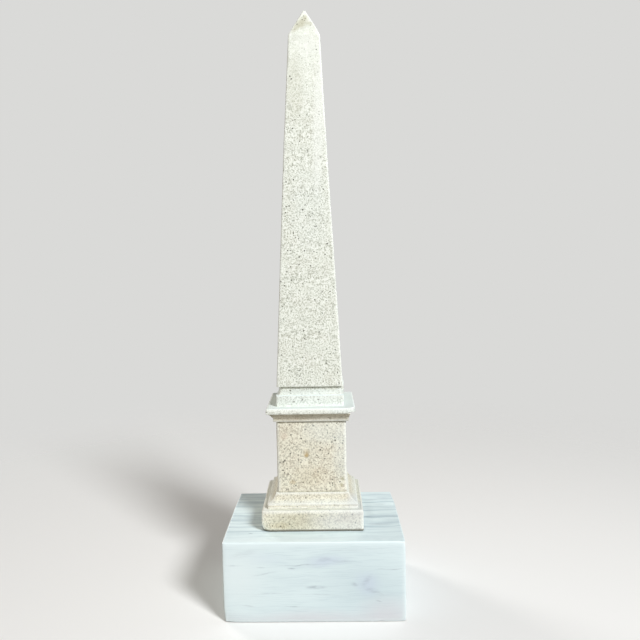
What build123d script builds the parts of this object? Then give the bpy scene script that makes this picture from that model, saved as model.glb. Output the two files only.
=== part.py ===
"""Desk obelisk in pale cast stone, standing on a veined marble block.

Every piece is a stone of its own, stacked face to face.  The origin is at the
middle of the marble block's underside, +Z is up and the front faces -Y.
All sizes are in millimetres.  The mouldings of the pedestal are set out from
the faces of its die, and the foot and neck from the faces of the shaft.
"""

import os
from build123d import *

# ---------------------------------------------------------------- marble block
block_width = 174.0
block_depth = 143.4
block_height = 78.8
block_ease = 1.6                # polished rounding along every edge

# where the obelisk stands on the block, from the middle of its top
axis_x = -1.0
axis_y = 4.4

# ------------------------------------------------------------------- pedestal
die_side = 69.4
die_height = 72.4
die_ease = 1.2                  # rounding of its upright corners

plinth_projection = 15.4        # the plinth stands out past the die
plinth_height = 21.0
plinth_ease = 1.0
chip_width = 3.7                # bite out of the lower front left corner
chip_height = 5.5
chip_depth = 4.0

base_band_projection = 9.8      # upright band at the foot of the base moulding
base_band_height = 4.8
base_slope_height = 8.7         # hollowed slope above that band
base_slope_hollow = 1.4         # how far the slope dips below a straight line
base_ledge = 1.8                # how far its top stands out past the die

bed_band_projection = 2.8       # upright band at the foot of the bed mould
bed_band_height = 3.2
bed_cove_height = 5.5           # cove spreading out under the slab
bed_cove_hollow = 0.6
slab_overhang = 1.4             # the slab stands out past the top of the cove

slab_projection = 9.4           # the slab stands out past the die
slab_height = 5.5
slab_top_round = 2.2            # rounding of its upper edge
slab_low_round = 0.8            # rounding of its lower edge
slab_corner = 1.4               # rounding of its upright corners

# ---------------------------------------------------------------------- shaft
shaft_x = -0.7                  # it stands a little left of the pedestal's middle
shaft_bottom_side = 66.0
shaft_top_side = 31.3
shaft_height = 343.6            # up to the shoulder under the pyramid
pyramid_height = 27.5
tip_side = 1.8                  # the point is worn flat to this width
tip_ease = 0.8
shaft_ease = 2.6                # rounding of the four long corners
shaft_low_ease = 1.0            # rounding of its lower edge

foot_projection = 0.55          # the foot block stands out past the shaft
foot_height = 11.9
neck_height = 7.6               # hollow neck between that block and the shaft
neck_cove_height = 3.0          # where the neck spreads out to the block
neck_cove_hollow = 0.75
shaft_overhang = 2.8            # the shaft stands out past the neck

# --------------------------------------------------------- widths, set out
plinth_side = die_side + 2 * plinth_projection
slab_side = die_side + 2 * slab_projection
foot_side = shaft_bottom_side + 2 * foot_projection
neck_side = shaft_bottom_side - 2 * shaft_overhang

# ------------------------------------------------------- heights, one on another
plinth_z = block_height
base_z = plinth_z + plinth_height
die_z = base_z + base_band_height + base_slope_height
bed_z = die_z + die_height
slab_z = bed_z + bed_band_height + bed_cove_height
foot_z = slab_z + slab_height
neck_z = foot_z + foot_height
shaft_z = neck_z + neck_height
shoulder_z = shaft_z + shaft_height


def planes_through(x, y):
    """The level plane, and the front-on and side-on planes, through an upright axis."""
    level = Plane(origin=(x, y, 0))
    front_on = Plane(origin=(x, y, 0), x_dir=(1, 0, 0), z_dir=(0, -1, 0))
    side_on = Plane(origin=(x, y, 0), x_dir=(0, 1, 0), z_dir=(1, 0, 0))
    return level, front_on, side_on


def hollow(lower, upper, depth):
    """Arc from the lower to the upper point, dipping into the stone by depth."""
    lower = Vector(*lower)
    upper = Vector(*upper)
    along = (upper - lower).normalized()
    dip = (lower + upper) * 0.5 + Vector(-along.Y, along.X) * depth
    return ThreePointArc(lower, dip, upper)


def base_moulding_face():
    """Upright section through the base moulding: a band, then a hollow slope."""
    band = (die_side / 2 + base_band_projection, base_z + base_band_height)
    top = (die_side / 2 + base_ledge, die_z)
    with BuildSketch() as face:
        with BuildLine():
            Polyline((0, base_z), (band[0], base_z), band)
            hollow(band, top, base_slope_hollow)
            Polyline(top, (0, die_z), (0, base_z))
        make_face()
        mirror(about=Plane.YZ)
    return face.sketch


def bed_mould_face():
    """Upright section through the bed mould: a band, then a cove spreading up."""
    band = (die_side / 2 + bed_band_projection, bed_z + bed_band_height)
    top = (slab_side / 2 - slab_overhang, slab_z)
    with BuildSketch() as face:
        with BuildLine():
            Polyline((0, bed_z), (band[0], bed_z), band)
            hollow(band, top, bed_cove_hollow)
            Polyline(top, (0, slab_z), (0, bed_z))
        make_face()
        mirror(about=Plane.YZ)
    return face.sketch


def foot_face():
    """Upright section through the shaft's foot: a block, a cove and a neck."""
    block_top = (foot_side / 2, neck_z)
    cove_top = (neck_side / 2, neck_z + neck_cove_height)
    with BuildSketch() as face:
        with BuildLine():
            Polyline((0, foot_z), (foot_side / 2, foot_z), block_top)
            hollow(block_top, cove_top, neck_cove_hollow)
            Polyline(cove_top, (neck_side / 2, shaft_z), (0, shaft_z), (0, foot_z))
        make_face()
        mirror(about=Plane.YZ)
    return face.sketch


level, front_on, side_on = planes_through(axis_x, axis_y)
shaft_level, shaft_front_on, shaft_side_on = planes_through(axis_x + shaft_x, axis_y)

# ------------------------------------------------------------------ the stones
with BuildPart() as marble_block:
    with BuildSketch():
        Rectangle(block_width, block_depth)
    extrude(amount=block_height)
    fillet(marble_block.edges(), radius=block_ease)

with BuildPart() as base_plinth:
    with BuildSketch(level.offset(plinth_z)):
        Rectangle(plinth_side, plinth_side)
    extrude(amount=plinth_height)
    fillet(base_plinth.edges(), radius=plinth_ease)
    with BuildSketch(front_on.offset(plinth_side / 2)):
        corner = (-plinth_side / 2, plinth_z)
        Polygon(corner, (corner[0] + chip_width, corner[1]),
                (corner[0], corner[1] + chip_height), align=None)
    extrude(amount=-chip_depth, mode=Mode.SUBTRACT)

with BuildPart() as base_moulding:
    with BuildSketch(front_on):
        add(base_moulding_face())
    extrude(amount=plinth_side / 2, both=True)
    with BuildSketch(side_on):
        add(base_moulding_face())
    extrude(amount=plinth_side / 2, both=True, mode=Mode.INTERSECT)

with BuildPart() as pedestal_die:
    with BuildSketch(level.offset(die_z)):
        RectangleRounded(die_side, die_side, die_ease)
    extrude(amount=die_height)

with BuildPart() as cornice_bed_mould:
    with BuildSketch(front_on):
        add(bed_mould_face())
    extrude(amount=slab_side / 2, both=True)
    with BuildSketch(side_on):
        add(bed_mould_face())
    extrude(amount=slab_side / 2, both=True, mode=Mode.INTERSECT)

with BuildPart() as cornice_slab:
    with BuildSketch(level.offset(slab_z)):
        RectangleRounded(slab_side, slab_side, slab_corner)
    extrude(amount=slab_height)
    fillet(cornice_slab.faces().sort_by(Axis.Z)[-1].edges(), radius=slab_top_round)
    fillet(cornice_slab.faces().sort_by(Axis.Z)[0].edges(), radius=slab_low_round)

with BuildPart() as shaft_foot:
    with BuildSketch(shaft_front_on):
        add(foot_face())
    extrude(amount=foot_side / 2, both=True)
    with BuildSketch(shaft_side_on):
        add(foot_face())
    extrude(amount=foot_side / 2, both=True, mode=Mode.INTERSECT)

with BuildPart() as shaft:
    with BuildSketch(shaft_level.offset(shaft_z)):
        RectangleRounded(shaft_bottom_side, shaft_bottom_side, shaft_ease)
    with BuildSketch(shaft_level.offset(shoulder_z)):
        RectangleRounded(shaft_top_side, shaft_top_side, shaft_ease)
    loft(ruled=True)
    fillet(shaft.faces().sort_by(Axis.Z)[0].edges(), radius=shaft_low_ease)
    with BuildSketch(shaft_level.offset(shoulder_z)):
        RectangleRounded(shaft_top_side, shaft_top_side, shaft_ease)
    with BuildSketch(shaft_level.offset(shoulder_z + pyramid_height)):
        RectangleRounded(tip_side, tip_side, tip_ease)
    loft(ruled=True)

# ---------------------------------------------------------------------- export
stones = {
    "marble_block": marble_block,
    "base_plinth": base_plinth,
    "base_moulding": base_moulding,
    "pedestal_die": pedestal_die,
    "cornice_bed_mould": cornice_bed_mould,
    "cornice_slab": cornice_slab,
    "shaft_foot": shaft_foot,
    "shaft": shaft,
}

os.makedirs("parts", exist_ok=True)
for name, stone in stones.items():
    stone.part.label = name
    export_step(stone.part, f"parts/{name}.step")
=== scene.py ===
"""Desk obelisk of worn cast stone on a veined marble block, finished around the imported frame.

Every stone is raised ring by ring from a square with rounded corners, cut into a fine grid,
then worn: its faces wander a little, its edges are rubbed and bitten, and small pits are
sunk into it.  Lengths are in metres, in the frame's own axes.
"""

import math
import random

import bmesh
import bpy
from bpy.props import FloatProperty, FloatVectorProperty, IntProperty, PointerProperty
from mathutils import Matrix, Vector, noise


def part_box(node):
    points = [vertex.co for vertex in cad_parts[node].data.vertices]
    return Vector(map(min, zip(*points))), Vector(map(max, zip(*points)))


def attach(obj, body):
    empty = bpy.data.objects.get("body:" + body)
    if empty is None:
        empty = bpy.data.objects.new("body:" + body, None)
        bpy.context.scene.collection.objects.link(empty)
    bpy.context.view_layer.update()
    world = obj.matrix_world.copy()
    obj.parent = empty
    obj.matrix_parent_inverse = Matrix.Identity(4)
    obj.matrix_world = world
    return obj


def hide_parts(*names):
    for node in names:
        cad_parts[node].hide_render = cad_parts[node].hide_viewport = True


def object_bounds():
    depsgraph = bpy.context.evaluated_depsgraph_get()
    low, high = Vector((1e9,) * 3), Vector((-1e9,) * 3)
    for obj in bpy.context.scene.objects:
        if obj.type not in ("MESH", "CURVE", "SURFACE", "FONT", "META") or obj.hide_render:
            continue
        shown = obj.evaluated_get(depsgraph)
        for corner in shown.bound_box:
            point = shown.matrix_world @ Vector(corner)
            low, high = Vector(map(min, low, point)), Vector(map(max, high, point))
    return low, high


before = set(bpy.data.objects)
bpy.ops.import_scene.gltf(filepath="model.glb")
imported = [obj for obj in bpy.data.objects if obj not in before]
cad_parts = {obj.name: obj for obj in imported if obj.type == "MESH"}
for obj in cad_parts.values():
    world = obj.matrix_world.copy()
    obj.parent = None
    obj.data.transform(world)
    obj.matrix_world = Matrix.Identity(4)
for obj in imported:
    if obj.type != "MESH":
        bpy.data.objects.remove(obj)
cad_low, cad_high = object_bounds()

bl_info = {
    "name": "Desk obelisk",
    "version": (1, 0, 0),
    "blender": (4, 5, 0),
    "location": "View3D > Sidebar > Obelisk",
    "description": "Builds a worn cast-stone obelisk and its marble block, stone by stone",
    "category": "Object",
}

MM = 0.001

# Wearing a stone: widths of the faces' waves, how sharp an edge has to be, and depths.
WAVE = 28 * MM
RIPPLE = 7 * MM
RUB_SPACING = 5 * MM
ROUGH_SPACING = 1.6 * MM
SEATED = 0.02 * MM
FULL_TURN = math.radians(20)
SHARP = math.radians(38)
NICK_MARGIN = 1.5 * MM
SQUARE_DECIMETRE = 0.01

# Pattern of the cast stone: widths of its lumps and cells, and depth of its relief.
CRUMB = 1.4 * MM
SPECK_CELL = 2.1 * MM
GRAIN_CELL = 3.7 * MM
SHADE = 7 * MM
CLOUD = 14 * MM
DRIFT = 15 * MM
BROWN_DRIFT = 19 * MM
STONE_RELIEF = 0.25 * MM
MARK_DEPTH = 30  # how deep stains and single grains reach, in millimetres

# Bedding of the marble: how its beds and broad clouds are stretched and turned.
BED_SIZE = Vector((95, 4.6, 42)) * MM
BED_TURN = (math.radians(38), 0, 0.03)
CLOUD_SIZE = Vector((110, 17, 60)) * MM
CLOUD_TURN = (math.radians(30), 0, -0.02)
STREAK_SIZE = Vector((9, 9, 1.1)) * MM
LAMINA_SIZE = Vector((26, 26, 1.0)) * MM
MARBLE_GRAIN = 1.2 * MM
MARBLE_RELIEF = 0.05 * MM

# The camera: its lens, its place over the middle of the block's top, and how it is turned.
SENSOR = 36.0
LENS = 39.48
SHIFT = 0.0178
CAMERA_PLACE = (0.0166, -0.7140, 0.2649)
CAMERA_TURN, CAMERA_TILT, CAMERA_ROLL = (math.radians(angle) for angle in (1.5, 85.17, -1.17))

# The stage: where the floor starts to fade and is gone, and how far off the lamps hang.
FLOOR_RADIUS = 4.0
FLOOR_FADE = (0.15, 1.05)
FLOOR_BOUNCE = (0.42, 0.39, 0.36)
LAMP_DISTANCE = 3.0


# ---------------------------------------------------------------- sizes and colours
def length(name, description, millimetres):
    """A size property, given in millimetres and kept in metres."""
    return FloatProperty(name=name, description=description, default=millimetres * MM,
                         min=0.0, soft_max=0.2, unit="LENGTH", subtype="DISTANCE")


def display_to_linear(level):
    """One display colour level, 0 to 255, as scene linear light."""
    level = level / 255
    return level / 12.92 if level <= 0.04045 else ((level + 0.055) / 1.055) ** 2.4


def colour(name, description, red, green, blue):
    """A colour property, given in display levels from 0 to 255."""
    linear = tuple(display_to_linear(level) for level in (red, green, blue))
    return FloatVectorProperty(name=name, description=description, default=linear,
                               size=3, min=0.0, max=1.0, subtype="COLOR")


class ObeliskOutline(bpy.types.PropertyGroup):
    """Heights and projections of the mouldings inside each stone's own box."""

    base_band: length("Base band", "Height of the upright band under the base slope", 4.8)
    base_ledge: length("Base ledge", "How far the base slope's top stands out past the die", 1.9)
    base_hollow: length("Base hollow", "How deep the base slope is hollowed", 1.4)
    base_groove: length("Base groove", "Depth of the fine groove round the base band", 0.5)
    bed_band: length("Bed band", "Height of the upright band under the cornice cove", 3.2)
    bed_step: length("Bed step", "How far that band stands out past the die", 2.8)
    bed_hollow: length("Bed hollow", "How deep the cornice cove is hollowed", 0.35)
    foot_block: length("Foot block", "Height of the square block under the neck", 10.7)
    neck_cove: length("Neck cove", "Height of the cove between the block and the neck", 3.6)
    neck_inset: length("Neck inset", "How far the neck stands in from the shaft's face", 3.1)
    neck_hollow: length("Neck hollow", "How deep that cove is hollowed", 1.0)
    shoulder_side: length("Shoulder", "Width of the shaft under the pyramid", 31.2)
    swell: length("Swell", "How far the shaft's faces swell outward half way up", 0.2)
    pyramid: length("Pyramid", "Height of the pyramid on top of the shaft", 27.5)
    bulge: length("Bulge", "How far the pyramid's faces swell outward", 0.3)
    tip_side: length("Tip", "Width of the worn point", 2.8)
    lean: length("Lean", "How far the shaft's point leans to the right", 1.2)


class ObeliskWear(bpy.types.PropertyGroup):
    """How far the stones are rounded, rubbed, chipped and pitted."""

    grid: length("Grid", "Width of the small faces that the stones are cut into", 1.8)
    block_grid: length("Block grid", "The same for the marble block", 3.6)
    block_ease: length("Block edges", "Rounding of the marble block", 1.3)
    plinth_ease: length("Plinth edges", "Rounding of the plinth", 1.3)
    moulding_ease: length("Moulding corners", "Rounding of the moulded stones' corners", 0.9)
    die_ease: length("Die corners", "Rounding of the die's upright corners", 1.9)
    slab_round: length("Slab top", "Rounding of the slab's upper edge", 2.3)
    slab_ease: length("Slab corners", "Rounding of the slab's corners", 1.4)
    shaft_ease: length("Shaft corners", "Rounding of the shaft's long corners", 1.2)
    seat_ease: length("Joint edges", "Rounding where two stones meet", 0.45)
    wander: length("Unevenness", "How far the faces dip between their high places", 0.13)
    rub: length("Rubbed edges", "How far the edges are rubbed down in places", 0.45)
    pit_depth: length("Pit depth", "Depth of the small pits", 0.55)
    pits: IntProperty(name="Pits", description="Pits in every hundred square centimetres",
                      default=26, min=0, max=400)
    nicks: IntProperty(name="Nicks", description="Nicks in each stone's edges",
                       default=7, min=0, max=60)
    nick_size: length("Nick size", "Radius of the largest nicks", 1.3)
    seed: IntProperty(name="Seed", description="Start of the random draws", default=7)


class ObeliskColours(bpy.types.PropertyGroup):
    """Colours of the two stones, of what has stained them, and of the light and shade painted on
    them.
    """

    shaft: colour("Shaft stone", "Body of the shaft's cast stone", 247, 250, 238)
    pedestal: colour("Pedestal stone", "Body of the pedestal's cast stone", 242, 238, 219)
    crumb: colour("Shaft sand", "Fine sand in the shaft's stone", 168, 170, 156)
    sand: colour("Pedestal sand", "Fine sand in the pedestal's stone", 174, 170, 154)
    # Browner sand, and also painted warm shade on the left side of the base moulding.
    umber_and_side_shade: colour("Brown sand", "Browner sand, in drifts", 180, 163, 142)
    grain: colour("Dark grains", "Sparse dark grains in the cast stone", 94, 92, 82)
    blush: colour("Blush", "Warm clouds in the cast stone", 226, 208, 186)
    # Painted light: whitens the faces that look up, as if lit from above, and lightens some
    # patches as painted light and bleached stone.
    painted_light_and_bleach: colour("Bleached tops", "Where light has whitened faces that look up", 242, 253, 254)
    # Rubbed bare stone, and also a painted highlight along the rounded edges and in pale
    # patches.
    edge: colour("Bare edges", "Where the cast stone is rubbed clean", 253, 255, 248)
    # Real dirt on the point, and also painted shade and dirt in the creases and hollows.
    dirt: colour("Dirt", "Brown dirt in hollows and on the point", 172, 164, 126)
    # Painted contact shadow and dirt along the feet of the plinth and the die.
    seam: colour("Seams", "Dark dirt where the stones meet", 88, 83, 68)
    # Cool grey patches, and also painted cool light on the right of the plinth and the base
    # moulding.
    ash_and_cool_light: colour("Ash", "Cool grey patches on the plinth", 212, 216, 222)
    rust: colour("Rust spot", "Iron bloom on the die", 186, 158, 104)
    marble: colour("Marble", "Body of the white marble", 233, 248, 250)
    marble_band: colour("Marble bands", "Grey-blue bands of the marble", 184, 204, 212)
    marble_cloud: colour("Marble clouds", "Faint lavender clouds of the marble", 208, 220, 236)
    marble_blush: colour("Marble blush", "Faint pink clouds low on the marble", 222, 219, 224)
    marble_vein: colour("Marble veins", "Thin darker veins of the marble", 118, 130, 146)
    # Painted highlight along the marble's rounded edges and in pale patches on its front and
    # top.
    marble_highlight: colour("Marble edges", "Polished edges of the marble", 240, 252, 253)
    floor: colour("Floor", "Plain floor", 248, 247, 245)
    backdrop: colour("Backdrop", "What shows behind the floor", 218, 218, 216)


class ObeliskSettings(bpy.types.PropertyGroup):
    """All the obelisk's settings together."""

    outline: PointerProperty(type=ObeliskOutline)
    wear: PointerProperty(type=ObeliskWear)
    colours: PointerProperty(type=ObeliskColours)
    key: FloatProperty(name="Key light", description="Power of the large soft light, in watts",
                       default=97.0, min=0.0, subtype="POWER", unit="POWER")
    back: FloatProperty(name="Back light", description="Power of the low light behind, in watts",
                        default=52.0, min=0.0, subtype="POWER", unit="POWER")
    sky: FloatProperty(name="Fill light", description="Brightness of the even light all round",
                       default=0.185, min=0.0, max=1.0, subtype="FACTOR")


def settings():
    return bpy.context.scene.obelisk


# ---------------------------------------------------------------- outlines
def eased(outline, corners, steps=3):
    """The outline with some corners rounded.

    The dictionary corners gives a size for a place, counted from the end when negative.
    """
    rounded = []
    for place, corner in enumerate(outline):
        size = corners.get(place, corners.get(place - len(outline), 0.0))
        if not size:
            rounded.append(corner)
            continue
        before = (outline[place - 1] - corner).normalized() * size
        after = (outline[place + 1] - corner).normalized() * size
        for step in range(steps + 1):
            along = step / steps
            rounded.append(corner + before * (1 - along) ** 2 + after * along ** 2)
    return rounded


def hollow(lower, upper, depth, steps=6):
    """Points between two outline points, dipping into the stone by depth."""
    along = upper - lower
    into = Vector((-along.y, along.x)).normalized()
    shares = [step / steps for step in range(1, steps)]
    return [lower + along * part + into * depth * 4 * part * (1 - part) for part in shares]


def spaced(outline, longest):
    """The outline with its long runs cut into steps no longer than the grid."""
    points = [outline[0]]
    for start, end in zip(outline, outline[1:]):
        count = max(1, round((end - start).length / longest))
        points += [start.lerp(end, step / count) for step in range(1, count + 1)]
    return points


def lower_edge(half, low):
    """The small bevel where a stone sits on the one below."""
    seat = settings().wear.seat_ease
    return [Vector((half - seat, low)), Vector((half, low + seat))]


def upper_edge(half, high):
    """The small bevel where a stone carries the one above."""
    seat = settings().wear.seat_ease
    return [Vector((half, high - seat)), Vector((half - seat, high))]


def block_outline(half, low, high, inset, foot, top):
    """A plain block's outline, starting this far in, its edges rounded by foot and top."""
    outline = [Vector((half - inset, low)), Vector((half, low)), Vector((half, high)),
               Vector((half - top, high))]
    return eased(outline, {1: foot, 2: top})


# ---------------------------------------------------------------- raising a stone
def start_ring(mesh, centre, half, extra, height, corner):
    """Lays down the lowest face: a rectangle with rounded corners."""
    place = Matrix.Translation((centre.x, centre.y, height))
    size = Matrix.Diagonal((half, half + extra, 1, 1))
    bmesh.ops.create_grid(mesh, x_segments=1, y_segments=1, size=1.0, matrix=place @ size)
    bmesh.ops.bevel(mesh, geom=mesh.verts[:], offset=corner, segments=4, profile=0.5,
                    affect="VERTICES", material=-1)
    bmesh.ops.recalc_face_normals(mesh, faces=mesh.faces[:])
    for face in mesh.faces:
        if face.normal.z > 0:
            face.normal_flip()


def shift_ring(ring, centre, extra, before, after, corner, rise):
    """Moves a ring's four rounded corners to a new width, no rounder than it has room for."""
    old = min(corner, before / 2)
    new = min(corner, after / 2)
    for vertex in ring:
        side = Vector((math.copysign(1, vertex.co.x - centre.x),
                       math.copysign(1, vertex.co.y - centre.y)))
        for axis in (0, 1):
            deeper = extra if axis else 0.0
            turn = centre[axis] + side[axis] * (before + deeper - old)
            moved = centre[axis] + side[axis] * (after + deeper - new)
            vertex.co[axis] = moved + (vertex.co[axis] - turn) * new / old
        vertex.co.z += rise


def raise_stone(mesh, centre, outline, corner, extra=0.0):
    """Raises the stone through every point of its outline and closes its top."""
    half, height = outline[0]
    start_ring(mesh, centre, half, extra, height, corner)
    ring = mesh.edges[:]
    for after, top in outline[1:]:
        raised = bmesh.ops.extrude_edge_only(mesh, edges=ring)["geom"]
        moved = {part for part in raised if isinstance(part, bmesh.types.BMVert)}
        shift_ring(moved, centre, extra, half, after, corner, top - height)
        ring = [edge for edge in raised
                if isinstance(edge, bmesh.types.BMEdge) and set(edge.verts) <= moved]
        half, height = after, top
    bmesh.ops.contextual_create(mesh, geom=ring)
    bmesh.ops.recalc_face_normals(mesh, faces=mesh.faces[:])


def cut_grid(mesh, width, grid):
    """Cuts the flat sides into upright strips about as wide as the grid."""
    long_edges = [edge for edge in mesh.edges if edge.calc_length() > grid * 2]
    count = max(1, round(width / grid) - 1)
    bmesh.ops.subdivide_edges(mesh, edges=long_edges, cuts=count)


# ---------------------------------------------------------------- wearing a stone
def mark_edges(mesh):
    """Notes at every point how sharply the stone turns out (worn) or in (grime); these marks
    later lighten the edges and paint shade and dirt into the creases.
    """
    worn = mesh.verts.layers.float.new("worn")
    hollow_shade_and_dirt = mesh.verts.layers.float.new("hollow_shade_and_dirt")
    for name in ("pit", "seam"):
        mesh.verts.layers.float.new(name)
    for vertex in mesh.verts:
        turns = [edge.calc_face_angle_signed(0.0) for edge in vertex.link_edges]
        vertex[worn] = min(1.0, max(0.0, max(turns)) / FULL_TURN)
        vertex[hollow_shade_and_dirt] = min(1.0, max(0.0, -min(turns)) / FULL_TURN)


def weather(mesh, low, high, wander, rub):
    """Lets the faces dip and rubs the marked edges, always into the stone."""
    worn = mesh.verts.layers.float["worn"]
    mesh.normal_update()
    wave, ripple, nick = 1 / WAVE, 1 / RIPPLE, 1 / RUB_SPACING
    for vertex in mesh.verts:
        place = vertex.co.copy()
        dip = wander * (0.5 + 0.5 * noise.noise(place * wave))
        dip += 0.3 * wander * (0.5 + 0.5 * noise.noise(place * ripple))
        uneven = max(0.0, noise.noise(place * nick) + 0.15)
        dip += vertex[worn] * rub * uneven
        inward = -vertex.normal
        if min(place.z - low, high - place.z) < SEATED:
            inward.z = 0.0
        vertex.co += inward * dip


def bite(mesh, centre, radius, stretch=(1, 1, 1)):
    """Breaks a shell-shaped chip off: points inside the egg are pushed out to its skin."""
    stretch = Vector(stretch)

    def squeezed(vertex):
        return Vector(part / size for part, size in zip(vertex.co - centre, stretch))

    near = [edge for edge in mesh.edges
            if min(squeezed(end).length for end in edge.verts) < radius * 1.2]
    bmesh.ops.subdivide_edges(mesh, edges=near, cuts=2, use_grid_fill=True)
    worn = mesh.verts.layers.float["worn"]
    for vertex in mesh.verts:
        away = squeezed(vertex)
        rough = radius * (1 + 0.10 * noise.noise(vertex.co / ROUGH_SPACING))
        if away.length < rough:
            pushed = away.normalized() * rough
            vertex.co = centre + Vector(part * size for part, size in zip(pushed, stretch))
            vertex[worn] = 0.4


def rub_corner(mesh, place, radius, depth, towards):
    """Rubs a corner down softly, most at the place and nothing at the radius."""
    towards = Vector(towards).normalized()
    for vertex in mesh.verts:
        away = (vertex.co - place).length / radius
        if away < 1:
            vertex.co += towards * depth * (1 - away * away) ** 2


def nick_edges(mesh, low, high, wear, draws):
    """Knocks small nicks out of the edges at places picked at random."""
    worn = mesh.verts.layers.float["worn"]
    edges = [vertex for vertex in mesh.verts
             if vertex[worn] > 0.9 and low + NICK_MARGIN < vertex.co.z < high - NICK_MARGIN]
    places = []
    for vertex in draws.sample(edges, min(wear.nicks, len(edges))):
        radius = wear.nick_size * draws.uniform(0.5, 1.0)
        places.append((vertex.co + vertex.normal * radius * 0.62, radius))
    for place, radius in places:
        bite(mesh, place, radius, (1, 1, draws.uniform(0.9, 1.8)))


def sink_pits(mesh, grid, low, high, wear, draws):
    """Sinks small pits into flat faces picked at random."""
    pit = mesh.verts.layers.float["pit"]
    worn = mesh.verts.layers.float["worn"]
    open_faces = [face for face in mesh.faces
                  if face.calc_area() < 2 * grid * grid
                  and len(face.verts) == 4
                  and max(corner[worn] for corner in face.verts) < 0.1
                  and low + grid < face.calc_center_median().z < high - grid]
    area = sum(face.calc_area() for face in open_faces)
    count = min(len(open_faces), round(wear.pits * area / SQUARE_DECIMETRE))
    chosen = draws.sample(open_faces, count)
    bmesh.ops.inset_individual(mesh, faces=chosen, thickness=grid * 0.27, depth=0.0)
    for face in chosen:
        deep = wear.pit_depth * draws.uniform(0.5, 1.0)
        for vertex in face.verts:
            astray = Vector(draws.uniform(-1, 1) for _ in range(3)) * grid * 0.1
            vertex.co += astray - face.normal * deep
            vertex[pit] = 1.0


# ---------------------------------------------------------------- finished pieces
def node_box(name):
    """Middle of a CAD node's box in plan, half its width, and its lowest and highest z."""
    low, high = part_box(name)
    centre = (low + high) / 2
    return centre, (high.x - low.x) / 2, low.z, high.z


def finish_piece(mesh, node, material):
    """Turns the mesh into a piece that rides on the root and stands for its CAD node."""
    name = "worn_" + node
    data = bpy.data.meshes.new(name)
    mesh.to_mesh(data)
    mesh.free()
    data.shade_smooth()
    data.set_sharp_from_angle(angle=SHARP)
    data.materials.append(material)
    piece = bpy.data.objects.new(name, data)
    bpy.context.scene.collection.objects.link(piece)
    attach(piece, "root")
    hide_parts(node)


def worn_stone(node, outline, corner, seed, shape=None):
    """Raises one cast stone from its outline and wears it.

    The last step, shape(mesh), is for what happened to this stone alone.
    """
    wear = settings().wear
    centre, half, low, high = node_box(node)
    mesh = bmesh.new()
    raise_stone(mesh, centre, spaced(outline, wear.grid), corner)
    cut_grid(mesh, half * 2, wear.grid)
    mark_edges(mesh)
    if shape:
        shape(mesh)
    weather(mesh, low, high, wear.wander, wear.rub)
    draws = random.Random(wear.seed + seed)
    sink_pits(mesh, wear.grid, low, high, wear, draws)
    nick_edges(mesh, low, high, wear, draws)
    return mesh


# ---------------------------------------------------------------- shader nodes
def add(tree, kind, sockets=None, **choices):
    """Adds a shader node, sets its choices, and links or fills its sockets."""
    node = tree.nodes.new("ShaderNode" + kind)
    for name, value in choices.items():
        setattr(node, name, value)
    for name, value in (sockets or {}).items():
        if isinstance(value, bpy.types.NodeSocket):
            tree.links.new(value, node.inputs[name])
        else:
            node.inputs[name].default_value = value
    return node


def maths(tree, operation, first, second):
    """Works out one number from two."""
    return add(tree, "Math", {0: first, 1: second}, operation=operation).outputs[0]


def times(tree, first, second):
    """One number times the other."""
    return maths(tree, "MULTIPLY", first, second)


def axis_of(tree, vector, axis):
    """One coordinate of a vector."""
    return add(tree, "SeparateXYZ", {"Vector": vector}).outputs[axis]


def stretched(tree, place, size, turn=(0, 0, 0), centre=(0, 0, 0)):
    """The place seen from a box of this size, turn and centre."""
    box = {"Vector": place, "Location": centre, "Rotation": turn, "Scale": size}
    return add(tree, "Mapping", box, vector_type="TEXTURE").outputs[0]


def remap(tree, value, low, high, to_low=0.0, to_high=1.0):
    """Stretches a value from one span onto another, smoothly, and holds it there."""
    span = {"Value": value, "From Min": low, "From Max": high, "To Min": to_low,
            "To Max": to_high}
    return add(tree, "MapRange", span, interpolation_type="SMOOTHSTEP").outputs["Result"]


def blend(tree, amount, under, over):
    """Lays one colour over another."""
    node = add(tree, "Mix", data_type="RGBA")
    for socket, value in ((0, amount), (6, under), (7, over)):
        if isinstance(value, bpy.types.NodeSocket):
            tree.links.new(value, node.inputs[socket])
        elif socket:
            node.inputs[socket].default_value = (*value, 1)
        else:
            node.inputs[socket].default_value = value
    return node.outputs[2]


def mottle(tree, place, size, detail=2.0, roughness=0.5):
    """Noise whose lumps are about this size in metres."""
    sockets = {"Vector": place, "Scale": 1 / size, "Detail": detail, "Roughness": roughness}
    return add(tree, "TexNoise", sockets).outputs["Fac"]


def ruffled(tree, place, lump, reach):
    """The same place, nudged this way and that by up to reach over lumps of this size."""
    bend = add(tree, "TexNoise", {"Vector": place, "Scale": 1 / lump, "Detail": 2.0})
    bend = add(tree, "VectorMath", {0: bend.outputs["Color"], 1: (0.5, 0.5, 0.5)},
               operation="SUBTRACT")
    bend = add(tree, "VectorMath", {0: bend.outputs[0], "Scale": reach * 3},
               operation="SCALE")
    return add(tree, "VectorMath", {0: place, 1: bend.outputs[0]},
               operation="ADD").outputs[0]


def grains(tree, place, size, share_shown, radius):
    """Round grains in cells of this size: a mask of the share of them that shows."""
    cell = add(tree, "TexVoronoi", {"Vector": place, "Scale": 1 / size, "Randomness": 1.0})
    pick = add(tree, "SeparateColor", {"Color": cell.outputs["Color"]})
    wide = remap(tree, pick.outputs["Green"], 0, 1, radius * 0.6, radius)
    inside = maths(tree, "SUBTRACT", wide, cell.outputs["Distance"])
    round_mask = remap(tree, inside, -0.05, 0.05)
    shown = maths(tree, "LESS_THAN", pick.outputs["Red"], share_shown)
    return times(tree, round_mask, shown)


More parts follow.
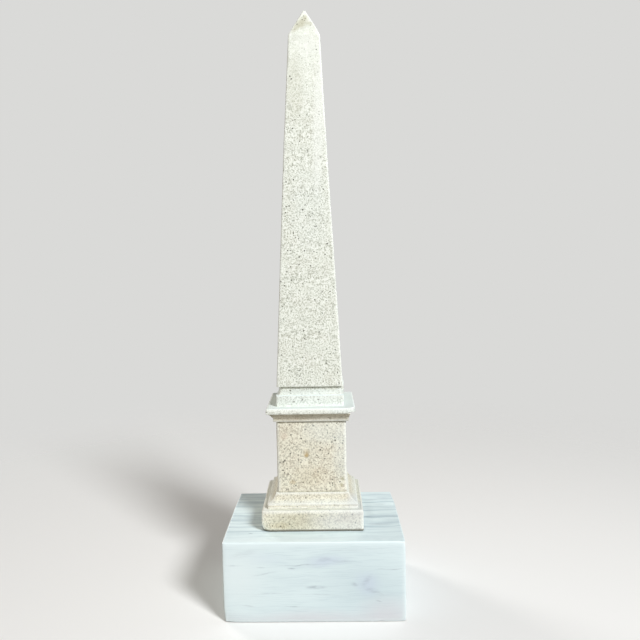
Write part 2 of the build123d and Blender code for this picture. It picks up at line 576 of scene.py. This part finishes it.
def spot(tree, place, centre, size, tilt, firm):
    """Mask of an egg-shaped spot, gone at its size; tilt, in degrees, lifts its right end.

    It is full inside the share firm of that size.
    """
    local = stretched(tree, place, size, (0, -math.radians(tilt), 0), centre)
    away = add(tree, "VectorMath", {0: local}, operation="LENGTH")
    return remap(tree, away.outputs["Value"], 1.0, firm)


def paint_marks(tree, place, base, origin, marks, deep, firm=0.35, broken=1.0):
    """Lays marks over the base: (x, z, half width, half height, tilt, strength, tint).

    Their lengths, and deep, are in millimetres; tint names one of the colours.
    """
    tints = settings().colours
    for x, z, wide, tall, tilt, strength, tint in marks:
        centre = origin + Vector((x, 0, z)) * MM
        size = Vector((wide, deep, tall)) * MM
        mask = times(tree, spot(tree, place, centre, size, tilt, firm), strength)
        base = blend(tree, times(tree, mask, broken), base, getattr(tints, tint))
    return base


def attribute(tree, name):
    """One of the numbers noted at the mesh's points."""
    return add(tree, "Attribute", attribute_name=name).outputs["Fac"]


def new_material(name):
    """An empty material and its node tree."""
    material = bpy.data.materials.new(name)
    material.use_nodes = True
    material.node_tree.nodes.clear()
    return material, material.node_tree


def close_material(tree, base, roughness, height, bump_distance, bump_strength, gloss=0.5):
    """Joins colour, roughness and bump into the surface."""
    bump = add(tree, "Bump", {"Height": height, "Distance": bump_distance,
                              "Strength": bump_strength})
    surface = add(tree, "BsdfPrincipled", {"Base Color": base, "Roughness": roughness,
                                           "Normal": bump.outputs["Normal"],
                                           "Specular IOR Level": gloss})
    add(tree, "OutputMaterial", {"Surface": surface.outputs["BSDF"]})


def cast_stone(name, body, sand, blush, painted_light_and_bleach, sparse, origin, stains_and_light, dark_grains):
    """Matte cast stone: sandy crumbs in drifts, sparse dark grains, warm clouds, bare edges
    with painted highlights, painted shade in creases and joints, and painted light on tops.

    The numbers blush and bleach say how strong the warm clouds are and how much light is
    painted onto the faces that look up.
    Above the height sparse the crumbs thin out.  The origin is the point on the front from
    which stains, painted light and shade, and single dark grains are set out.
    """
    if name in bpy.data.materials:
        return bpy.data.materials[name]
    tints = settings().colours
    material, tree = new_material(name)
    place = add(tree, "TexCoord").outputs["Object"]
    height = axis_of(tree, place, "Z")
    facing = add(tree, "NewGeometry").outputs["Normal"]
    upward = remap(tree, axis_of(tree, facing, "Z"), 0.6, 0.97)
    crumb = mottle(tree, place, CRUMB, 2.0, 0.6)
    drift = remap(tree, mottle(tree, place, DRIFT, 2.0), 0.34, 0.62, 0.8, 1.0)
    thin = remap(tree, height, sparse - 95 * MM, sparse, 1.0, 0.35)
    drift = times(tree, drift, thin)
    loose = ruffled(tree, place, 1.3 * MM, 0.25 * MM)
    specks = grains(tree, loose, SPECK_CELL, 0.55, 0.32)
    dark = grains(tree, loose, GRAIN_CELL, 0.46 - 0.4 * blush, 0.21)
    cloud = remap(tree, mottle(tree, place, CLOUD, 3.0), 0.46, 0.70)
    brown = remap(tree, mottle(tree, place, BROWN_DRIFT, 3.0), 0.44, 0.62, 0.0, blush * 1.2)
    sand = blend(tree, brown, sand, tints.umber_and_side_shade)
    shade = remap(tree, mottle(tree, place, SHADE, 3.0), 0.42, 0.66, 0.0, 0.13)
    bright = tuple(min(1.0, part * 1.12) for part in body)
    crumbs = times(tree, remap(tree, crumb, 0.45, 0.65), drift)

    base = body
    for amount, tint in ((times(tree, cloud, blush * 0.5), tints.blush),
                         (remap(tree, crumb, 0.48, 0.34, 0.0, 0.7), bright),
                         (shade, sand),
                         (times(tree, crumbs, 0.8), sand),
                         (times(tree, times(tree, specks, drift), 0.5), sand),
                         (times(tree, times(tree, dark, drift), 0.95), tints.grain)):
        base = blend(tree, amount, base, tint)
    base = paint_marks(tree, ruffled(tree, place, 5 * MM, 1.6 * MM), base, origin, stains_and_light,
                       MARK_DEPTH)
    single = [(x, z, size, size, 0, 0.95, "grain") for x, z, size in dark_grains]
    base = paint_marks(tree, loose, base, origin, single, MARK_DEPTH)
    # Painted light: faces that look up are whitened as if lit from above.
    base = blend(tree, times(tree, upward, painted_light_and_bleach), base, tints.painted_light_and_bleach)
    # Rubbed edges lighten as bare stone and as painted highlight; creases take painted shade and
    # dirt; seams take painted contact shadow and dirt; pits darken.
    for mark, strength, tint in (("worn", 0.5, tints.edge), ("hollow_shade_and_dirt", 0.22, tints.dirt),
                                 ("pit", 0.5, tints.grain), ("seam", 0.9, tints.seam)):
        base = blend(tree, times(tree, attribute(tree, mark), strength), base, tint)

    relief = maths(tree, "SUBTRACT", crumb, times(tree, specks, 0.3))
    relief = maths(tree, "SUBTRACT", relief, times(tree, dark, 0.6))
    roughness = remap(tree, crumb, 0.3, 0.7, 0.82, 0.96)
    close_material(tree, base, roughness, relief, STONE_RELIEF, 0.6, gloss=0.3)
    return material


# Stains and painted light as paint_marks takes them, and single dark grains: x, z and
# radius in millimetres.
# Heights are from the floor, but on the die they are from its middle.
SHAFT_STAINS_AND_LIGHT = (
    (1.8, 583, 4, 7, 0, 0.65, "dirt"), (-1.2, 577, 12, 8.5, 50, 0.58, "dirt"),
    (-7.5, 570, 8, 5, 50, 0.45, "dirt"), (6.6, 575.5, 5, 4, 0, 0.35, "dirt"),
    (-2, 571, 26, 17, 0, 0.17, "crumb"), (-1, 579, 16, 13, 0, 0.22, "dirt"),
    # Painted light and shade: the whitened foot block, cove and slab top, the lighter strip down
    # the shaft's right edge, and the darker neck under the shaft's overhang.
    (0, 206, 70, 15, 0, 0.3, "painted_light_and_bleach"), (0, 213.8, 70, 3.4, 0, 0.4, "painted_light_and_bleach"),
    (-6, 216.5, 44, 4.5, 0, 0.16, "crumb"), (0, 197, 90, 4.5, 0, 0.6, "shaft"),
    (34, 198, 30, 6, 0, 0.7, "painted_light_and_bleach"), (14, 480, 8, 100, -2.5, 0.5, "edge"),
    (4, 553, 14, 16, 0, 0.4, "edge"), (4, 395, 26, 60, 0, 0.09, "painted_light_and_bleach"),
    (-10, 512, 14, 46, 0, 0.14, "dirt"), (-14, 494, 2.4, 5, 0, 0.4, "crumb"),
    (-24, 213, 16, 4, 0, 0.12, "crumb"),
)
SHAFT_GRAINS = (
    (0.6, 584, 1.6), (-0.6, 579.7, 1.5), (2.3, 581, 1.3), (-5.7, 574.6, 1.2),
    (-13.5, 523, 1.1), (-12.2, 520.5, 1.2), (12.7, 548, 0.9), (-3.4, 393.5, 1.2),
    (-13, 371, 1.0), (-11.3, 367, 0.8), (-19, 354, 1.0), (-16.5, 354, 0.8),
    (-2.5, 353.5, 1.1), (6.7, 352.5, 0.9), (8.3, 377, 0.9), (20, 360, 1.1),
    (-15.8, 205, 1.0), (-7.3, 207, 0.9), (8.2, 207, 1.0), (-19.3, 215.5, 1.1),
)
DIE_SPOTS = (
    (-5.5, 3.5, 5.5, 5, 0, 0.3, "rust"), (-5, 1.8, 3.2, 3.2, 0, 0.75, "rust"),
    (30.3, -22.5, 2.6, 2.2, 0, 0.7, "dirt"), (28.8, -29, 2.4, 2.2, 0, 0.7, "dirt"),
    (-19, -26, 4.5, 3.6, 0, 0.35, "rust"), (-27, 21, 6, 5.5, 30, 0.38, "blush"),
)
DIE_WASHES = (
    (16, 27, 36, 20, 0, 0.2, "painted_light_and_bleach"), (28, -13, 10, 11, 0, 0.2, "sand"),
    (31, 2, 14, 40, 0, 0.2, "painted_light_and_bleach"), (-2, -20, 26, 16, 0, 0.15, "rust"),
)
DIE_GRAINS = (
    (-26.9, -3.7, 1.5), (-28.8, -13.5, 1.3), (23.6, 16.2, 1.4), (-10, 18.5, 1.3),
    (-11, -5.6, 0.9), (23.3, -1.3, 0.9), (17.5, -27, 1.0), (-25.5, -33.5, 1.0),
    (14.3, -33.5, 1.0), (10, 9, 0.8), (16, 12, 0.8), (20, 14.5, 0.9),
)
MOULDING_WASHES = (
    # Painted light and shade: cool light on the right side of the base moulding and on the
    # plinth's right, warm shade on the moulding's left side, and light on the slope's top.
    (44, 106, 13, 14, 0, 0.45, "ash_and_cool_light"), (-48, 104, 8, 14, 0, 0.35, "umber_and_side_shade"),
    (-33, 85, 16, 5, 0, 0.25, "rust"), (-20, 89, 36, 16, 0, 0.3, "dirt"),
    (42, 89, 62, 20, 0, 0.42, "ash_and_cool_light"), (8, 106.5, 70, 7, 0, 0.05, "painted_light_and_bleach"),
    (10, 105.5, 30, 4, 0, 0.1, "painted_light_and_bleach"), (0, 112.2, 80, 3.6, 0, 0.26, "sand"),
    (0, 190.5, 70, 6, 0, 0.3, "blush"), (2, 187, 72, 3.4, 0, 0.36, "sand"),
    (-4, 192, 28, 5, 0, 0.22, "sand"), (36, 187.5, 18, 4.5, 0, 0.6, "sand"),
    (0, 88, 60, 14, 0, 0.13, "sand"),
)
MOULDING_GRAINS = ((-6.5, 109, 1.0), (-15, 102, 0.9), (-31.6, 84.4, 1.2), (-22.6, 86.5, 1.1))


def raised(marks, rise):
    """The marks with their heights raised by this much."""
    return [(x, z + rise, *rest) for x, z, *rest in marks]


def shaft_material():
    """The shaft's white cast stone, with brown dirt on the front of the point."""
    tints = settings().colours
    low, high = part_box("shaft")
    origin = Vector(((low.x + high.x) / 2, low.y + 9 * MM, 0))
    return cast_stone("cast stone, shaft", tints.shaft, tints.crumb, blush=0.12, painted_light_and_bleach=0.95,
                      sparse=556 * MM, origin=origin, stains_and_light=SHAFT_STAINS_AND_LIGHT,
                      dark_grains=SHAFT_GRAINS)


def pedestal_material():
    """The pedestal's warmer cast stone, with a rust spot and yellowed patches."""
    tints = settings().colours
    low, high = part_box("pedestal_die")
    origin = Vector(((low.x + high.x) / 2, low.y - 7 * MM, 0))
    middle = (low.z + high.z) / 2 / MM
    stains_and_light = [*raised(DIE_SPOTS, middle), *MOULDING_WASHES, *raised(DIE_WASHES, middle)]
    return cast_stone("cast stone, pedestal", tints.pedestal, tints.sand, blush=0.4,
                      painted_light_and_bleach=0.4, sparse=900 * MM, origin=origin, stains_and_light=stains_and_light,
                      dark_grains=[*raised(DIE_GRAINS, middle), *MOULDING_GRAINS])


# Veins that show on the marble's front: x from its middle and z from its foot, half width,
# half height and tilt, in millimetres and degrees, then the strength.
FRONT_VEINS = (
    (-76, 56.6, 12, 0.7, 0, 0.45), (-51, 55, 6, 0.7, 0, 0.4), (-12, 56.4, 33, 0.8, 1.5, 0.42),
    (-21, 53.4, 5, 1.1, 4, 0.95), (-47, 48.7, 17, 1.2, 10, 0.28), (10, 62, 10, 3.2, 4, 0.26),
    (26, 60, 16, 1.8, -3, 0.24), (1.5, 34.4, 13, 2.4, 0, 0.52), (38, 37.3, 5, 3.0, -20, 0.30),
    (50, 41.0, 9, 4.2, 55, 0.22), (56, 30.5, 13, 4.0, -25, 0.26), (72, 52, 18, 0.7, 0, 0.42),
    (-43, 28.5, 22, 0.8, 2, 0.30), (4, 27.5, 28, 0.8, -1, 0.26), (-62, 16.5, 9, 0.9, -4, 0.34),
    (-20, 15.6, 13, 1.0, -2, 0.38), (61, 20.5, 5, 1.2, -10, 0.34), (30, 70, 30, 1.0, 0, 0.14),
    (-66, 68, 18, 5, 12, 0.14),
)
# Washes of tint on its front, as paint_marks takes them; the palest paint a reflection over
# the front's left and a highlight along the top's front edge.
FRONT_WASHES = (
    (52, 34, 70, 46, 0, 0.3, "marble_band"), (-52, 62, 34, 9, 0, 0.2, "marble_cloud"),
    (-72, 45, 40, 52, 0, 0.9, "marble_highlight"), (-55, 80, 60, 9, 0, 0.7, "marble_highlight"),
    (12, 61, 30, 9, 0, 0.6, "marble_cloud"), (52, 36, 18, 16, -40, 0.6, "marble_cloud"),
    (70, 8, 44, 24, 0, 0.6, "marble_blush"), (0, 2, 130, 14, 0, 0.6, "marble_blush"),
    (0, 82, 120, 6, 0, 0.9, "marble_highlight"),
)
# Streaks on its top: x and y from the middle, half width and half depth, and the strength.
TOP_STREAKS = (
    (61, 44, 14, 3.0, 0.40), (70, 30, 12, 1.6, 0.30), (54, -7, 6, 2.0, 0.45),
    (64, -28, 20, 4.5, 0.28), (-62, -48, 3.5, 1.0, 0.8), (-66, 8, 18, 1.8, 0.25),
    (-60, 38, 22, 2.2, 0.25), (10, -62, 60, 1.0, 0.12), (57, 8, 8, 42, 0.16),
)


def veined_marble(name):
    """White marble: steep grey-blue bedding, pale at the front, with a few drawn veins and
    painted highlights on its edges and front.
    """
    tints = settings().colours
    low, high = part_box("marble_block")
    front = Vector(((low.x + high.x) / 2, low.y, low.z))
    top = Vector(((low.x + high.x) / 2, 0, high.z))
    material, tree = new_material(name)
    place = add(tree, "TexCoord").outputs["Object"]
    bent = ruffled(tree, place, 55 * MM, 3.4 * MM)
    wavy = ruffled(tree, place, 16 * MM, 1.1 * MM)
    bed = mottle(tree, stretched(tree, bent, BED_SIZE, BED_TURN), 1.0, 4.0, 0.6)
    cloud = mottle(tree, stretched(tree, bent, CLOUD_SIZE, CLOUD_TURN), 1.0, 2.0)
    streaks = mottle(tree, stretched(tree, wavy, STREAK_SIZE), 1.0, 3.0)
    laminae = mottle(tree, stretched(tree, wavy, LAMINA_SIZE), 1.0, 3.0)
    fine = mottle(tree, place, MARBLE_GRAIN, 2.0)

    # The beds are faint on the front and fade towards the block's foot.
    shown = times(tree,
                  remap(tree, axis_of(tree, place, "Y"), low.y + 4 * MM, low.y + 36 * MM,
                        0.17, 0.9),
                  remap(tree, axis_of(tree, place, "Z"), low.z, high.z - 6 * MM, 0.6, 1.0))
    base = tints.marble
    for lumps, start, full, strength, tint in (
            (bed, 0.44, 0.68, 0.85, tints.marble_band),
            (cloud, 0.50, 0.76, 0.55, tints.marble_band),
            (bed, 0.62, 0.80, 0.35, tints.marble_vein)):
        amount = times(tree, remap(tree, lumps, start, full, 0.0, strength), shown)
        base = blend(tree, amount, base, tint)
    base = blend(tree, remap(tree, laminae, 0.48, 0.72, 0.0, 0.22), base, tints.marble_band)
    base = paint_marks(tree, bent, base, front, FRONT_WASHES, 20, 0.0)
    veins = [(*vein, "marble_vein") for vein in FRONT_VEINS]
    broken = remap(tree, streaks, 0.36, 0.60, 0.25, 1.0)
    base = paint_marks(tree, wavy, base, front, veins, 8, 0.0, broken)
    for x, y, wide, deep, strength in TOP_STREAKS:
        mask = spot(tree, wavy, top + Vector((x, y, 0)) * MM, Vector((wide, deep, 7)) * MM,
                    0, 0.0)
        base = blend(tree, times(tree, mask, strength), base, tints.marble_vein)
    # Painted highlight along the marble's rounded edges.
    base = blend(tree, times(tree, attribute(tree, "worn"), 0.75), base, tints.marble_highlight)
    roughness = remap(tree, fine, 0.3, 0.7, 0.38, 0.52)
    close_material(tree, base, roughness, maths(tree, "ADD", fine, bed), MARBLE_RELIEF, 0.25)
    return material


# ---------------------------------------------------------------- operators: the stones
class OBELISK_OT_marble_block(bpy.types.Operator):
    """Makes the thick marble block that everything stands on"""

    bl_idname = "obelisk.marble_block"
    bl_label = "Marble block"

    def execute(self, context):
        wear = settings().wear
        centre, half, low, high = node_box("marble_block")
        box_low, box_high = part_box("marble_block")
        extra = (box_high.y - box_low.y) / 2 - half
        ease = wear.block_ease
        outline = block_outline(half, low, high, ease, ease, ease)
        mesh = bmesh.new()
        raise_stone(mesh, centre, spaced(outline, wear.block_grid), ease, extra)
        cut_grid(mesh, half * 2, wear.block_grid)
        mark_edges(mesh)
        self.round_off(mesh, box_low, box_high)
        weather(mesh, low, high, wear.wander * 0.6, wear.rub * 0.5)
        nick_edges(mesh, low, high, wear, random.Random(wear.seed))
        finish_piece(mesh, "marble_block", veined_marble("veined marble"))
        return {"FINISHED"}

    def round_off(self, mesh, low, high):
        """Rubs corners down and breaks a shallow flake off the lower front edge."""
        for corner, radius, depth, towards in (
                ((low.x, low.y, low.z), 16, 1.4, (1, 1, 0.5)),
                ((high.x, low.y, low.z), 9, 0.7, (-1, 0.6, 0.8)),
                ((high.x, low.y, high.z), 10, 0.7, (-1, 0.6, -0.8)),
                ((high.x, high.y, high.z), 40, 1.5, (-1, -0.2, 0)),
                ((low.x, high.y, high.z), 55, 1.0, (1, -0.2, 0))):
            rub_corner(mesh, Vector(corner), radius * MM, depth * MM, towards)
        flake = Vector(((low.x + high.x) / 2 + 63 * MM, low.y - 0.6 * MM, low.z - 0.6 * MM))
        bite(mesh, flake, 1.9 * MM, (2.6, 1, 1))


class OBELISK_OT_base_plinth(bpy.types.Operator):
    """Makes the square plinth, chipped at its lower front left corner"""

    bl_idname = "obelisk.base_plinth"
    bl_label = "Base plinth"

    def execute(self, context):
        wear = settings().wear
        centre, half, low, high = node_box("base_plinth")
        ease = wear.plinth_ease
        outline = block_outline(half, low, high, ease, ease, ease * 1.6)
        corner = Vector((centre.x - half, centre.y - half, low))

        def chip(mesh):
            """Breaks the corner off and paints contact shadow and dirt along the foot."""
            seam = mesh.verts.layers.float["seam"]
            for vertex in mesh.verts:
                if vertex.co.z < low + ease:
                    vertex[seam] = 1.0
            rub_corner(mesh, corner, 9 * MM, 2.2 * MM, (1, 1, 0.4))
            bite(mesh, corner + Vector((-0.8, -0.8, -1.6)) * MM, 3.6 * MM)

        mesh = worn_stone("base_plinth", outline, ease, seed=1, shape=chip)
        finish_piece(mesh, "base_plinth", pedestal_material())
        return {"FINISHED"}


class OBELISK_OT_base_moulding(bpy.types.Operator):
    """Makes the band and hollowed slope on the plinth"""

    bl_idname = "obelisk.base_moulding"
    bl_label = "Base moulding"

    def execute(self, context):
        shape = settings().outline
        wear = settings().wear
        centre, half, low, high = node_box("base_moulding")
        _, die_half, _, _ = node_box("pedestal_die")
        band = Vector((half, low + shape.base_band))
        groove = Vector((half, low + shape.base_band * 0.52))
        deep = shape.base_groove
        top = Vector((die_half + shape.base_ledge, high))
        outline = [*lower_edge(half, low), groove - Vector((0, deep)),
                   groove - Vector((deep, 0)), groove + Vector((0, deep)), band,
                   *hollow(band, top, shape.base_hollow), *upper_edge(*top)]

        def spread_right(mesh):
            """Draws the foot of the stone out a little on the right."""
            for vertex in mesh.verts:
                if vertex.co.x > centre.x:
                    vertex.co.x += 1.0 * MM * (high - vertex.co.z) / (high - low)

        mesh = worn_stone("base_moulding", outline, wear.moulding_ease, seed=2,
                          shape=spread_right)
        finish_piece(mesh, "base_moulding", pedestal_material())
        return {"FINISHED"}


class OBELISK_OT_pedestal_die(bpy.types.Operator):
    """Makes the tall plain die of the pedestal"""

    bl_idname = "obelisk.pedestal_die"
    bl_label = "Pedestal die"

    def execute(self, context):
        wear = settings().wear
        _, half, low, high = node_box("pedestal_die")
        outline = lower_edge(half, low) + upper_edge(half, high)
        mesh = worn_stone("pedestal_die", outline, wear.die_ease, seed=3)
        worn = mesh.verts.layers.float["worn"]
        seam = mesh.verts.layers.float["seam"]
        # Its foot gets painted shade as a thin dark line, and no edge lightening.
        for vertex in mesh.verts:  # its foot is a thin dark line, not a bare edge
            if vertex.co.z < low + wear.seat_ease * 1.5:
                vertex[worn], vertex[seam] = 0.0, 0.22
        finish_piece(mesh, "pedestal_die", pedestal_material())
        return {"FINISHED"}


class OBELISK_OT_cornice(bpy.types.Operator):
    """Makes the cornice: its bed mould and its overhanging slab"""

    bl_idname = "obelisk.cornice"
    bl_label = "Cornice"

    def execute(self, context):
        self.bed_mould()
        self.slab()
        return {"FINISHED"}

    def bed_mould(self):
        """Makes the band and cove under the slab."""
        shape = settings().outline
        wear = settings().wear
        centre, half, low, high = node_box("cornice_bed_mould")
        _, die_half, _, _ = node_box("pedestal_die")
        band = Vector((die_half + shape.bed_step, low + shape.bed_band))
        top = Vector((half, high))
        outline = [*lower_edge(band.x, low), band, *hollow(band, top, shape.bed_hollow),
                   *upper_edge(half, high)]

        def trim_right(mesh):
            """Cuts the cove nearly upright at its right end."""
            furthest = centre.x + band.x + 0.7 * MM
            for vertex in mesh.verts:
                if vertex.co.x > furthest:
                    vertex.co.x = furthest + (vertex.co.x - furthest) * 0.2

        mesh = worn_stone("cornice_bed_mould", outline, wear.moulding_ease, seed=4,
                          shape=trim_right)
        finish_piece(mesh, "cornice_bed_mould", pedestal_material())

    def slab(self):
        """Makes the slab, rubbed down at its lower front right corner."""
        wear = settings().wear
        centre, half, low, high = node_box("cornice_slab")
        top = wear.slab_round
        outline = block_outline(half, low, high, top, top * 0.2, top)
        corner = Vector((centre.x + half, centre.y - half, low))

        mesh = worn_stone(
            "cornice_slab", outline, wear.slab_ease, seed=21,
            shape=lambda mesh: rub_corner(mesh, corner, 10 * MM, 2.4 * MM, (-1, 1, 0.8)))
        finish_piece(mesh, "cornice_slab", shaft_material())


class OBELISK_OT_shaft_foot(bpy.types.Operator):
    """Makes the square block, cove and neck under the shaft"""

    bl_idname = "obelisk.shaft_foot"
    bl_label = "Shaft foot"

    def execute(self, context):
        shape = settings().outline
        wear = settings().wear
        centre, half, low, high = node_box("shaft_foot")
        _, shaft_half, _, _ = node_box("shaft")
        neck = shaft_half - shape.neck_inset
        block_top = Vector((half, low + shape.foot_block))
        cove_top = Vector((neck, block_top.y + shape.neck_cove))
        outline = [*lower_edge(half, low), block_top,
                   *hollow(block_top, cove_top, shape.neck_hollow), cove_top,
                   *upper_edge(neck, high)]

        def fill_right(mesh):
            """Fills the groove on the right, starting behind its front corner."""
            for vertex in mesh.verts:
                if vertex.co.z > block_top.y + 0.1 * MM and vertex.co.x > centre.x:
                    behind = vertex.co.y - (centre.y - neck)
                    full = neck + min(1, max(0, behind / (6 * MM))) * shape.neck_inset * 1.35
                    if vertex.co.x > centre.x + neck - 1 * MM:
                        vertex.co.x = max(vertex.co.x, centre.x + full)

        mesh = worn_stone("shaft_foot", outline, wear.moulding_ease, seed=6, shape=fill_right)
        worn = mesh.verts.layers.float["worn"]
        # Less edge lightening, both bare stone and painted highlight, along the block's upper
        # edge.
        for vertex in mesh.verts:  # the block's upper edge is hardly bare
            if abs(vertex.co.z - block_top.y) < 0.6 * MM:
                vertex[worn] *= 0.35
        finish_piece(mesh, "shaft_foot", shaft_material())
        return {"FINISHED"}


class OBELISK_OT_shaft(bpy.types.Operator):
    """Makes the tall tapered shaft with its pyramid point"""

    bl_idname = "obelisk.shaft"
    bl_label = "Shaft"

    def execute(self, context):
        shape = settings().outline
        wear = settings().wear
        centre, half, low, high = node_box("shaft")
        shoulder = Vector((shape.shoulder_side / 2, high - shape.pyramid))
        tip = Vector((shape.tip_side / 2, high - shape.tip_side * 0.3))
        crown = Vector((shape.tip_side * 0.15, high))
        ease = wear.shaft_ease
        foot = Vector((half, low))
        outline = [Vector((half - ease, low)), foot, *hollow(foot, shoulder, -shape.swell),
                   shoulder, *hollow(shoulder, tip, -shape.bulge), tip, crown]
        outline = eased(outline, {1: ease * 0.6, 7: ease * 0.8, -2: shape.tip_side * 0.2})

        def lean(mesh):
            """Bends the upper part over to the right."""
            for vertex in mesh.verts:
                rise = (vertex.co.z - low) / (high - low)
                vertex.co.x += shape.lean * max(0.0, rise - 0.6) / 0.4

        mesh = worn_stone("shaft", outline, ease, seed=8, shape=lean)
        finish_piece(mesh, "shaft", shaft_material())
        return {"FINISHED"}


# ---------------------------------------------------------------- operator: the stage
def seen_rays(tree):
    """One for the rays that show a thing directly, mirrored or through glass; else nothing."""
    rays = add(tree, "LightPath")
    seen = maths(tree, "MAXIMUM", rays.outputs["Is Camera Ray"], rays.outputs["Is Glossy Ray"])
    return maths(tree, "MAXIMUM", seen, rays.outputs["Is Transmission Ray"])


class OBELISK_OT_stage(bpy.types.Operator):
    """Makes the plain floor, the soft lights and the camera"""

    bl_idname = "obelisk.stage"
    bl_label = "Stage"

    def execute(self, context):
        self.make_camera(context.scene)
        self.make_floor(context.scene)
        self.make_lights(context.scene)
        context.scene.view_settings.view_transform = "Standard"
        return {"FINISHED"}

    def make_camera(self, scene):
        """Places the camera in front, a little above the middle and turned slightly down."""
        lens = bpy.data.cameras.new("camera")
        lens.sensor_width = SENSOR
        lens.lens = LENS
        lens.shift_x = SHIFT
        camera = bpy.data.objects.new("camera", lens)
        scene.collection.objects.link(camera)
        across, away, up = CAMERA_PLACE
        camera.location = (across, away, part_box("marble_block")[1].z + up)
        turn = Matrix.Rotation(CAMERA_TURN, 4, "Z")
        tilt = Matrix.Rotation(CAMERA_TILT, 4, "X")
        roll = Matrix.Rotation(CAMERA_ROLL, 4, "Z")
        camera.rotation_euler = (turn @ tilt @ roll).to_euler()
        scene.camera = camera

    def make_floor(self, scene):
        """Lays a pale round floor that fades out into the backdrop."""
        mesh = bmesh.new()
        bmesh.ops.create_circle(mesh, cap_ends=True, radius=FLOOR_RADIUS, segments=64)
        data = bpy.data.meshes.new("floor")
        mesh.to_mesh(data)
        mesh.free()
        floor = bpy.data.objects.new("floor", data)
        scene.collection.objects.link(floor)
        material, tree = new_material("plain floor")
        paint = blend(tree, seen_rays(tree), FLOOR_BOUNCE, settings().colours.floor)
        near = add(tree, "BsdfDiffuse", {"Color": paint})
        far = add(tree, "BsdfTransparent")
        place = add(tree, "TexCoord").outputs["Object"]
        away = add(tree, "VectorMath", {0: place}, operation="LENGTH").outputs["Value"]
        fade = remap(tree, away, *FLOOR_FADE)
        mix = add(tree, "MixShader", {0: fade, 1: near.outputs[0], 2: far.outputs[0]})
        add(tree, "OutputMaterial", {"Surface": mix.outputs[0]})
        data.materials.append(material)

    def make_lights(self, scene):
        """Hangs both lamps and lights the world evenly, warmer from the left."""
        self.hang_lamp(scene, "key", settings().key, azimuth=35, height=33, size=0.8,
                       tint=(0.965, 0.985, 1.0))
        self.hang_lamp(scene, "back", settings().back, azimuth=222, height=9, size=1.0,
                       tint=(1.0, 0.985, 0.96))
        world = bpy.data.worlds.new("even light")
        scene.world = world
        world.use_nodes = True
        tree = world.node_tree
        tree.nodes.clear()
        side = axis_of(tree, add(tree, "TexCoord").outputs["Object"], "X")
        warm, cool = (tuple(settings().sky * part for part in tint)
                      for tint in ((1.18, 1.0, 0.80), (0.94, 1.0, 1.06)))
        sky = blend(tree, remap(tree, side, -1, 1), warm, cool)
        glow = blend(tree, seen_rays(tree), sky, settings().colours.backdrop)
        back = add(tree, "Background", {"Color": glow})
        add(tree, "OutputWorld", {"Surface": back.outputs[0]})

    def hang_lamp(self, scene, name, power, azimuth, height, size, tint):
        """Hangs a round soft lamp that is turned to the middle of the obelisk."""
        light = bpy.data.lights.new(name, "AREA")
        light.shape = "DISK"
        light.size = size
        light.energy = power
        light.color = tint
        lamp = bpy.data.objects.new(name, light)
        scene.collection.objects.link(lamp)
        lamp.visible_camera = False
        azimuth, height = math.radians(azimuth), math.radians(height)
        out = Vector((math.sin(azimuth) * math.cos(height),
                      -math.cos(azimuth) * math.cos(height), math.sin(height)))
        lamp.location = (cad_low + cad_high) / 2 + out * LAMP_DISTANCE
        lamp.rotation_euler = (-out).to_track_quat("-Z", "Y").to_euler()


# ---------------------------------------------------------------- panel and main
OPERATORS = (
    OBELISK_OT_marble_block,
    OBELISK_OT_base_plinth,
    OBELISK_OT_base_moulding,
    OBELISK_OT_pedestal_die,
    OBELISK_OT_cornice,
    OBELISK_OT_shaft_foot,
    OBELISK_OT_shaft,
    OBELISK_OT_stage,
)


class OBELISK_PT_tools(bpy.types.Panel):
    """Lists the obelisk's pieces and settings"""

    bl_idname = "OBELISK_PT_tools"
    bl_label = "Desk obelisk"
    bl_space_type = "VIEW_3D"
    bl_region_type = "UI"
    bl_category = "Obelisk"

    def draw(self, context):
        chosen = context.scene.obelisk
        for group in (chosen.outline, chosen.wear, chosen.colours):
            box = self.layout.box()
            for name in group.__annotations__:
                box.prop(group, name)
        for name in ("key", "back", "sky"):
            self.layout.prop(chosen, name)
        for operator in OPERATORS:
            self.layout.operator(operator.bl_idname)


CLASSES = (ObeliskOutline, ObeliskWear, ObeliskColours, ObeliskSettings,
           *OPERATORS, OBELISK_PT_tools)


def register():
    for each in CLASSES:
        bpy.utils.register_class(each)
    bpy.types.Scene.obelisk = PointerProperty(type=ObeliskSettings)


def unregister():
    del bpy.types.Scene.obelisk
    for each in reversed(CLASSES):
        bpy.utils.unregister_class(each)


def main():
    register()
    bpy.ops.obelisk.marble_block()
    bpy.ops.obelisk.base_plinth()
    bpy.ops.obelisk.base_moulding()
    bpy.ops.obelisk.pedestal_die()
    bpy.ops.obelisk.cornice()
    bpy.ops.obelisk.shaft_foot()
    bpy.ops.obelisk.shaft()
    bpy.ops.obelisk.stage()


if __name__ == "__main__":
    main()
